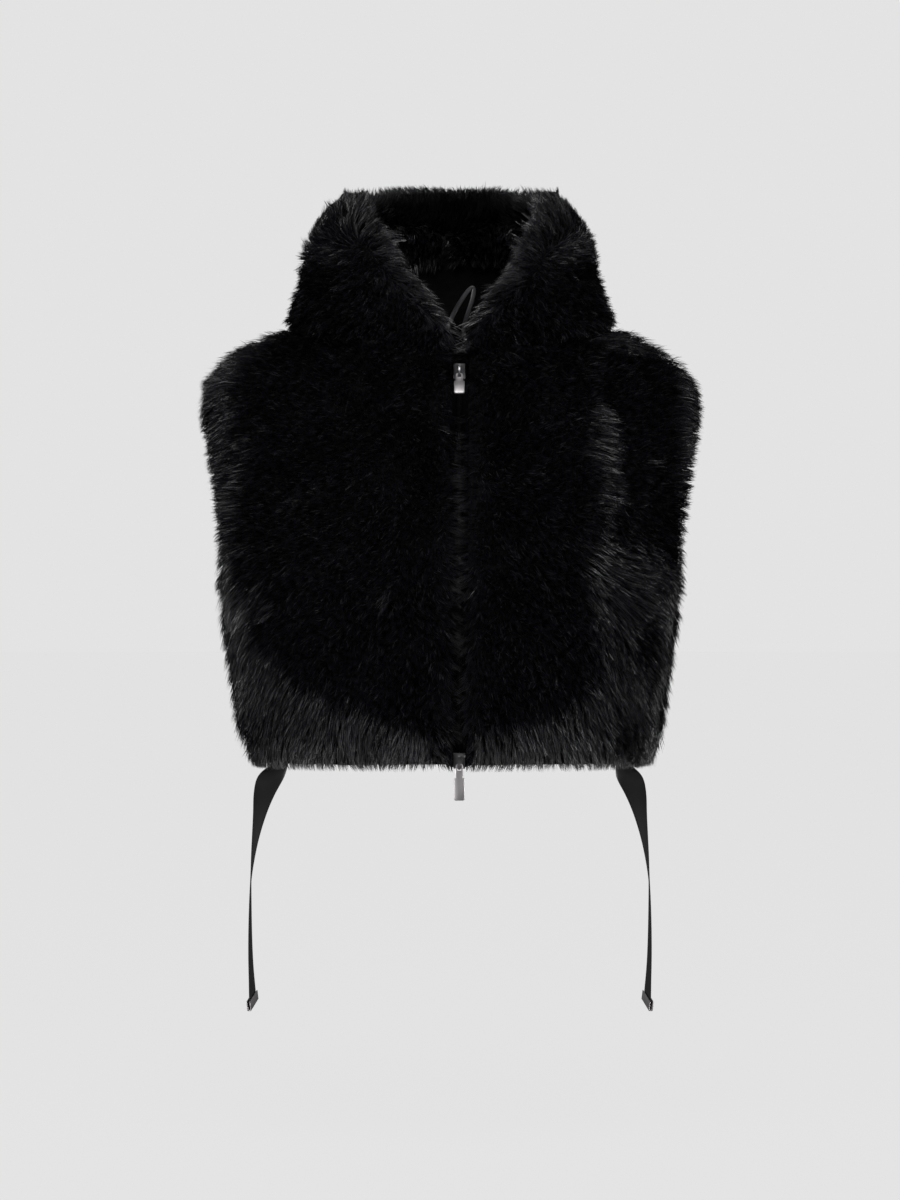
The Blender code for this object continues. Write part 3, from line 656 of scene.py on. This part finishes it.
# How strongly standing hair turns straight to the front or the back.
STAND_OUT = 1.6
ROOT = 0.0012
# Each hair's rise and its reach along the brushing, as shares of the usual ones.
RISE_SPREAD = (0.78, 1.24)
REACH_SPREAD = (0.7, 1.25)
# Standing hair reaches less along the brushing, and lying hair rises less.
STANDING_REACH = 0.72
LYING_RISE = 0.25
# A few hairs are longer than the rest, and every tip strays a little.
LONG_SHARE = 0.04
LONG_HAIR = 1.25
STRAY = 0.0014
BOW = 0.22
FAN = math.radians(58)
BLADE = [(0, 1, 3), (0, 3, 2), (2, 3, 4)]
HAIR_FACES = len(BLADE)
ROLL = 0.9
LIE = 0.0195
LOCK = 13
LOCK_WAY = 0.0017
GUARD_WIDTH = 1.3
SWIRL_SIZE = 0.075
SWIRL = 0.55
TRIM = 0.0008
BACK_TRIM = 0.003

# How high the front of the collar's rim may stand, at these distances from the middle.
RIM_HALVES = (0.0825, 0.102, 0.1165, 0.134, 0.1456)
RIM_HEIGHTS = (0.140, 0.138, 0.129, 0.114, 0.100)


def scatter(wall, count, rng):
    """Roots spread over the underfur and the cut edges, with the normal and the pile's height there."""
    points = sunk_points(wall)
    corners = wall.corners[wall.furry | wall.edge]
    a, b, c = (points[corners[:, i]] for i in range(3))
    cross = np.cross(b - a, c - a)
    normals = vertex_normals(points, corners, cross)
    height = np.maximum(wall.depth * (1 - UNDERFUR), EDGE_PILE)
    area = np.linalg.norm(cross, axis=1)
    pick = rng.choice(len(corners), count, p=area / area.sum())
    u, v = rng.random(count), rng.random(count)
    flip = u + v > 1
    u[flip], v[flip] = 1 - u[flip], 1 - v[flip]
    share = np.stack([1 - u - v, u, v], axis=1)[:, :, None]
    place = (points[corners[pick]] * share).sum(axis=1)
    normal = unit((normals[corners[pick]] * share).sum(axis=1))
    tall = (height[corners[pick]] * share[:, :, 0]).sum(axis=1)
    return place, normal, tall


def along_surface(vectors, normals):
    """The part of each vector that lies in the surface."""
    return vectors - normals * (vectors * normals).sum(axis=1, keepdims=True)


def gather_locks(roots, tips, rng):
    """Lean each tip towards the tip of its lock, and lay each lock a little its own way."""
    leaders = rng.choice(len(roots), max(len(roots) // LOCK, 1), replace=False)
    tree = KDTree(len(leaders))
    for i, leader in enumerate(leaders):
        tree.insert(roots[leader], i)
    tree.balance()
    owner = np.array([leaders[tree.find(root)[1]] for root in roots])
    pull = rng.uniform(0.1, 0.75, len(roots))[:, None]
    own_way = rng.normal(scale=LOCK_WAY, size=tips.shape)
    return tips + (tips[owner] - tips) * pull + own_way[owner]


def comb_down(tips, loose, rng):
    """Press back the tips that stand further off the plain model than a tuft does, or than they hang."""
    reach = rng.uniform(*TUFT, len(tips)) + loose
    for i, tip in enumerate(tips):
        place, normal, _, away = skin.find_nearest(tip)
        if away > reach[i] and (Vector(tip) - place).dot(normal) > 0:
            tips[i] -= (Vector(tip) - place) * (1 - reach[i] / away)
    return tips


def trim(roots, tips, node):
    """Cut the hairs that would hang below the hem."""
    low = HEM - TRIM if node != "back" else HEM - BACK_TRIM
    drop = roots[:, 2] - tips[:, 2]
    keep = np.where(tips[:, 2] < low, np.clip((roots[:, 2] - low) / np.maximum(drop, 1e-6), 0.15, 1), 1)
    return roots + (tips - roots) * keep[:, None]


def round_rim(tips, rng):
    """Keep the corners of the collar's opening round."""
    top = np.interp(np.abs(tips[:, 0]), RIM_HALVES, RIM_HEIGHTS) + rng.uniform(-0.003, 0.003, len(tips))
    high = (tips[:, 1] < 0.02) & (tips[:, 2] > top)
    tips[:, 2] = np.where(high, top, tips[:, 2])
    return tips


# Half the width of the parting beside each pull and its slider, and between which heights it runs.
Gap = namedtuple("Gap", "half low high")
CLEAR_OF_PULLS = [Gap(0.0060, -0.084, -0.031), Gap(0.0062, HEM - 0.01, -0.408)]


def part_hairs(points, roots, rng):
    """Push hairs back to their own side where the pulls and sliders lie."""
    side = np.where(roots[:, 0] < ZIP_X, -1, 1)
    own_side = (points[:, 0] - ZIP_X) * side
    for gap in CLEAR_OF_PULLS:
        inside = (own_side < gap.half) & (points[:, 2] > gap.low) & (points[:, 2] < gap.high)
        inside &= points[:, 1] < 0
        pushed = ZIP_X + side * (gap.half + rng.uniform(0, 0.0012, len(side)))
        points[:, 0] = np.where(inside, pushed, points[:, 0])
    return points


def hair_mesh(name, roots, bends, tips, normals, width, rng):
    """One mesh of narrow blades, each from its root through its bend to its tip."""
    count = len(roots)
    along = unit(tips - roots)
    across = unit(np.cross(along, normals))
    over = np.cross(across, along)
    roll = rng.normal(scale=ROLL, size=count)[:, None]
    across, over = across * np.cos(roll) + over * np.sin(roll), over * np.cos(roll) - across * np.sin(roll)
    points = np.empty((count, 5, 3))
    points[:, 0] = roots - across * width[:, None]
    points[:, 1] = roots + across * width[:, None]
    points[:, 2] = bends - across * width[:, None] * 0.8
    points[:, 3] = bends + across * width[:, None] * 0.8
    points[:, 4] = tips
    fan = np.empty((count, 5, 3))
    fan[:, 0] = fan[:, 2] = over * math.cos(FAN) - across * math.sin(FAN)
    fan[:, 1] = fan[:, 3] = over * math.cos(FAN) + across * math.sin(FAN)
    fan[:, 4] = over
    pattern = np.array(BLADE)
    faces = (np.arange(count)[:, None, None] * 5 + pattern[None]).reshape(-1, 3)
    mesh = bpy.data.meshes.new(name)
    mesh.vertices.add(count * 5)
    mesh.vertices.foreach_set("co", points.ravel())
    mesh.loops.add(faces.size)
    mesh.loops.foreach_set("vertex_index", faces.ravel().astype(np.int32))
    mesh.polygons.add(len(faces))
    mesh.polygons.foreach_set("loop_start", np.arange(0, faces.size, 3, dtype=np.int32))
    mesh.polygons.foreach_set("use_smooth", np.ones(len(faces), dtype=bool))
    mesh.update(calc_edges=True)
    mesh.normals_split_custom_set_from_vertices(fan.reshape(-1, 3))
    return mesh


def grow(pile):
    """The long hairs of one panel, as one piece."""
    rng = np.random.default_rng(pile.seed)
    place, normal, tall = scatter(walls[pile.node], pile.count, rng)
    swirl = np.stack([ripple(place, SWIRL_SIZE, 20 + i) for i in range(3)], axis=1)
    brushed, standing, painted_sheen = BRUSHED[pile.node](place)
    normal = unit(normal + away_from_middle(place, pile.node) * (STAND_OUT * standing)[:, None])
    flow = along_surface(brushed + swirl * SWIRL, normal)
    flow /= np.maximum(np.linalg.norm(flow, axis=1, keepdims=True), 0.9)
    roots = place - normal * ROOT
    rise = tall * rng.uniform(*RISE_SPREAD, pile.count) + ROOT
    rise *= 1 - LYING_RISE * (1 - standing)
    lie = LIE * rng.uniform(*REACH_SPREAD, pile.count) * (1 - STANDING_REACH * standing)
    rise[rng.random(pile.count) < LONG_SHARE] *= LONG_HAIR
    tips = roots + normal * rise[:, None] + flow * lie[:, None]
    tips += rng.normal(scale=STRAY, size=tips.shape)
    loose = HANG * (1 - ramp_up(place[:, 2], 0.080, 0.105)) * (pile.node == "collar_inner")
    tips = comb_down(gather_locks(roots, tips, rng), loose, rng)
    if pile.node in COLLAR_NODES:
        tips = round_rim(tips, rng)
    tips = part_hairs(trim(roots, tips, pile.node), roots, rng)
    bends = (roots + tips) / 2 + normal * (rise * BOW)[:, None]
    bends = part_hairs(bends, roots, rng)
    # Hairs picked by the painted sheen share get the lighter guard-hair finish: a painted highlight where the
    # light falls.
    painted_sheen_guard = rng.random(pile.count) < painted_sheen
    width = HAIR * rng.uniform(0.6, 1.25, pile.count) * np.where(painted_sheen_guard, GUARD_WIDTH, 1)
    mesh = hair_mesh(pile.node, roots, bends, tips, normal, width, rng)
    mesh.materials.append(fibre)
    mesh.materials.append(guard_hair_painted_sheen)
    mesh.polygons.foreach_set("material_index", np.repeat(painted_sheen_guard, HAIR_FACES).astype(np.int32))
    piece = bpy.data.objects.new(pile.node + "_pile", mesh)
    bpy.context.scene.collection.objects.link(piece)
    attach(piece, "root")
    return piece


piles = {pile.node: grow(pile) for pile in PILES}
print("hair triangles:", sum(len(piece.data.polygons) for piece in piles.values()))

# %% [markdown]
# ## A record of a panel's cut
# A Cut holds a panel's node, the width and length of the rectangle of cloth that it comes from, and the
# share of that rectangle that the panel takes. None is made here.

Cut = namedtuple("Cut", "node width length area")

# %% [markdown]
# ## Satin at the neck
# Inside the V the fur facing ends and black satin shows: the lining, and the turned edge that stands
# up as a narrow fold, whose satin is painted lighter as a highlight. Both come from their plain solids,
# rounded finer. The lining's creases are placed one by one, as in the body.

# %% Make the lining and the fold
NECK_CREASES = [
    Crease(83, 0.10, -0.02, 0.080, 0.040, 0.0011),
    Crease(107, -0.14, 0.00, 0.086, 0.030, 0.0007),
    Crease(51, 0.08, -0.02, 0.060, 0.055, 0.0013),
    Crease(128, 0.05, -0.03, 0.050, 0.045, 0.0009),
    Crease(159, -0.10, -0.01, 0.070, 0.050, 0.0012),
    Crease(-156, 0.12, -0.02, 0.055, 0.036, 0.0008),
    Crease(-127, -0.05, -0.03, 0.060, 0.052, 0.0012),
    Crease(-98, 0.09, -0.02, 0.040, 0.034, 0.0007),
    Crease(-61, -0.12, -0.02, 0.050, 0.048, 0.0011),
    Crease(-22, 0.06, -0.01, 0.065, 0.042, 0.0009),
    Crease(19, -0.08, -0.02, 0.072, 0.050, 0.0012),
]


def make_satin(node, levels, creases, material):
    """A satin piece: its plain solid, rounded and creased."""
    piece = merged_copy(node, node + "_satin")
    smooth_finer(piece, levels)
    points, _ = arrays(piece)
    lift = creased(points, creases)
    set_points(piece, points + point_normals(piece) * lift[:, None])
    piece.data.materials.append(material)
    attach(piece, "root")
    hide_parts(node)
    return piece


lining = make_satin("neck_lining", 2, NECK_CREASES, satin)
# The fold wears the lighter satin: a painted highlight along it.
fold = make_satin("facing_fold", 2, [], turned_edge_painted_highlight)
print("satin faces:", len(lining.data.polygons), len(fold.data.polygons))

# %% [markdown]
# ## The ribbons
# Each tie is satin ribbon that turns edge-on as it hangs. The plain solid gives the turn, and a
# rounder, finer copy of it hangs smoothly.


def make_tie(word):
    """One ribbon, rounded finer."""
    piece = merged_copy("tie_" + word, "ribbon_" + word)
    smooth_finer(piece, 2)
    piece.data.materials.append(ribbon)
    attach(piece, "root")
    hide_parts("tie_" + word)
    return piece


ties = [make_tie(word) for word in ("left", "right")]
print("ribbons:", [piece.name for piece in ties])

# %% [markdown]
# ## Metal
# The pulls, sliders and clamps keep their plain shapes, with their edges rounded by a fine bevel so
# that they catch a thin line of light.

# %% Finish the metal pieces
Metal = namedtuple("Metal", "node body material slot bevel")
METALS = [
    Metal("pull_top", "pull_top", silver, "pull_metal", 0.00035),
    Metal("pull_bottom", "pull_bottom", silver, "pull_metal", 0.00035),
    Metal("slider_top", "root", dark_metal, "slider_metal", 0.00022),
    Metal("slider_bottom", "root", dark_metal, "slider_metal", 0.00022),
    Metal("tie_clamp_left", "root", silver, "clamp_metal", 0.0002),
    Metal("tie_clamp_right", "root", silver, "clamp_metal", 0.0002),
]


def make_metal(metal):
    """One metal piece, with its flat faces joined and its edges bevelled."""
    piece = merged_copy(metal.node, metal.node + "_metal")
    bpy.ops.object.mode_set(mode="EDIT")
    bpy.ops.mesh.select_all(action="SELECT")
    bpy.ops.mesh.dissolve_limited(angle_limit=math.radians(2))
    bpy.ops.object.mode_set(mode="OBJECT")
    modifier = piece.modifiers.new("soft_edges", "BEVEL")
    modifier.width = metal.bevel
    modifier.segments = 2
    modifier.limit_method = "ANGLE"
    modifier.angle_limit = math.radians(35)
    bpy.ops.object.modifier_apply(modifier=modifier.name)
    bpy.ops.object.shade_smooth_by_angle(angle=math.radians(35))
    piece.data.materials.append(metal.material)
    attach(piece, metal.body)
    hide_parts(metal.node)
    return piece


metals = [make_metal(metal) for metal in METALS]
print("metal pieces:", [piece.name for piece in metals])

# %% [markdown]
# ## The zip
# The tapes keep their plain shape and get a woven finish. Small teeth are laid over the raised bead
# where the tapes meet: one bevelled tooth, copied left and right by turns down the zip with arrays.

# %% Weave the tapes
for word in ("left", "right"):
    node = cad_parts["zip_tape_" + word]
    node.data.materials.clear()
    node.data.materials.append(tape)

# %% Set the teeth
TOOTH = (0.0030, 0.0012, 0.00105)
TOOTH_STEP = 0.0012
TOOTH_SIDE = 0.0008
TOOTH_SINK = 0.0002
TOOTH_ROUND = 0.00022
ZIP_ENDS = (-0.4060, -0.0520)

both_tapes = [arrays(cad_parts["zip_tape_" + word]) for word in ("left", "right")]
bead = BVHTree.FromPolygons(
    np.vstack([points for points, _ in both_tapes]).tolist(),
    np.vstack([both_tapes[0][1], both_tapes[1][1] + len(both_tapes[0][0])]).tolist(),
)
bpy.ops.object.select_all(action="DESELECT")
bpy.ops.mesh.primitive_cube_add(size=1)
teeth = bpy.context.object
teeth.name = "zip_teeth"
teeth.scale = TOOTH
bpy.ops.object.transform_apply(scale=True)
edge_round = teeth.modifiers.new("round_edges", "BEVEL")
edge_round.width = TOOTH_ROUND
edge_round.segments = 2
bpy.ops.object.modifier_apply(modifier=edge_round.name)
tooth_points, tooth_corners = arrays(teeth)

places = []
for i, height in enumerate(np.arange(*ZIP_ENDS, TOOTH_STEP)):
    side = TOOTH_SIDE if i % 2 else -TOOTH_SIDE
    hit = bead.ray_cast(Vector((ZIP_X + 2 * side, -1.0, height)), Vector((0, 1, 0)))
    if hit[0]:
        places.append((ZIP_X + side, hit[0].y + TOOTH_SINK, height))
places = np.array(places)
every_point = (tooth_points[None] + places[:, None]).reshape(-1, 3)
every_corner = tooth_corners[None] + (np.arange(len(places)) * len(tooth_points))[:, None, None]
chain = bpy.data.meshes.new("zip_teeth")
chain.from_pydata(every_point.tolist(), [], every_corner.reshape(-1, 3).tolist())
teeth.data = chain
activate(teeth)
bpy.ops.object.shade_smooth_by_angle(angle=math.radians(35))
chain.materials.append(teeth_resin)
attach(teeth, "root")
print("teeth:", len(places), "with", len(chain.polygons), "triangles")

# %% [markdown]
# Each tape is sewn on behind the edge of its fur front. A narrow sewn margin carries the tape on
# under the fur, so that no light shows through between them.

# %% Sew the margins
MARGIN = (0.0062, 0.0098)
MARGIN_THICK = 0.0012
MARGIN_SINK = 0.0001
MARGIN_STEP = 0.004
MARGIN_INSET = 0.001
TAPE_LOW = float(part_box("zip_tape_left")[0].z)
TAPE_HIGH = float(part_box("zip_tape_left")[1].z)


def sew_margin(word, side):
    """A thin strip along one tape, from its outer part to under the fur."""
    points = []
    for height in np.arange(TAPE_LOW + MARGIN_INSET, TAPE_HIGH - MARGIN_INSET, MARGIN_STEP):
        hit = bead.ray_cast(Vector((ZIP_X + side * MARGIN[0], -1.0, height)), Vector((0, 1, 0)))
        near, far = ZIP_X + side * MARGIN[0], ZIP_X + side * MARGIN[1]
        front, back = hit[0].y + MARGIN_SINK, hit[0].y + MARGIN_THICK
        points += [(near, front, height), (far, front, height), (far, back, height), (near, back, height)]
    rings = len(points) // 4
    faces = [(0, 1, 2, 3), tuple(4 * (rings - 1) + i for i in (3, 2, 1, 0))]
    for ring in range(rings - 1):
        for i in range(4):
            j = (i + 1) % 4
            faces.append((4 * ring + j, 4 * ring + i, 4 * ring + 4 + i, 4 * ring + 4 + j))
    mesh = bpy.data.meshes.new("zip_margin_" + word)
    mesh.from_pydata(points, [], faces)
    margin = bpy.data.objects.new(mesh.name, mesh)
    bpy.context.scene.collection.objects.link(margin)
    activate(margin)
    bpy.ops.object.mode_set(mode="EDIT")
    bpy.ops.mesh.select_all(action="SELECT")
    bpy.ops.mesh.normals_make_consistent(inside=False)
    bpy.ops.object.mode_set(mode="OBJECT")
    mesh.materials.append(tape)
    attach(margin, "root")
    return margin


margins = [sew_margin("right", -1), sew_margin("left", 1)]
print("sewn margins:", [len(piece.data.polygons) for piece in margins], "faces")
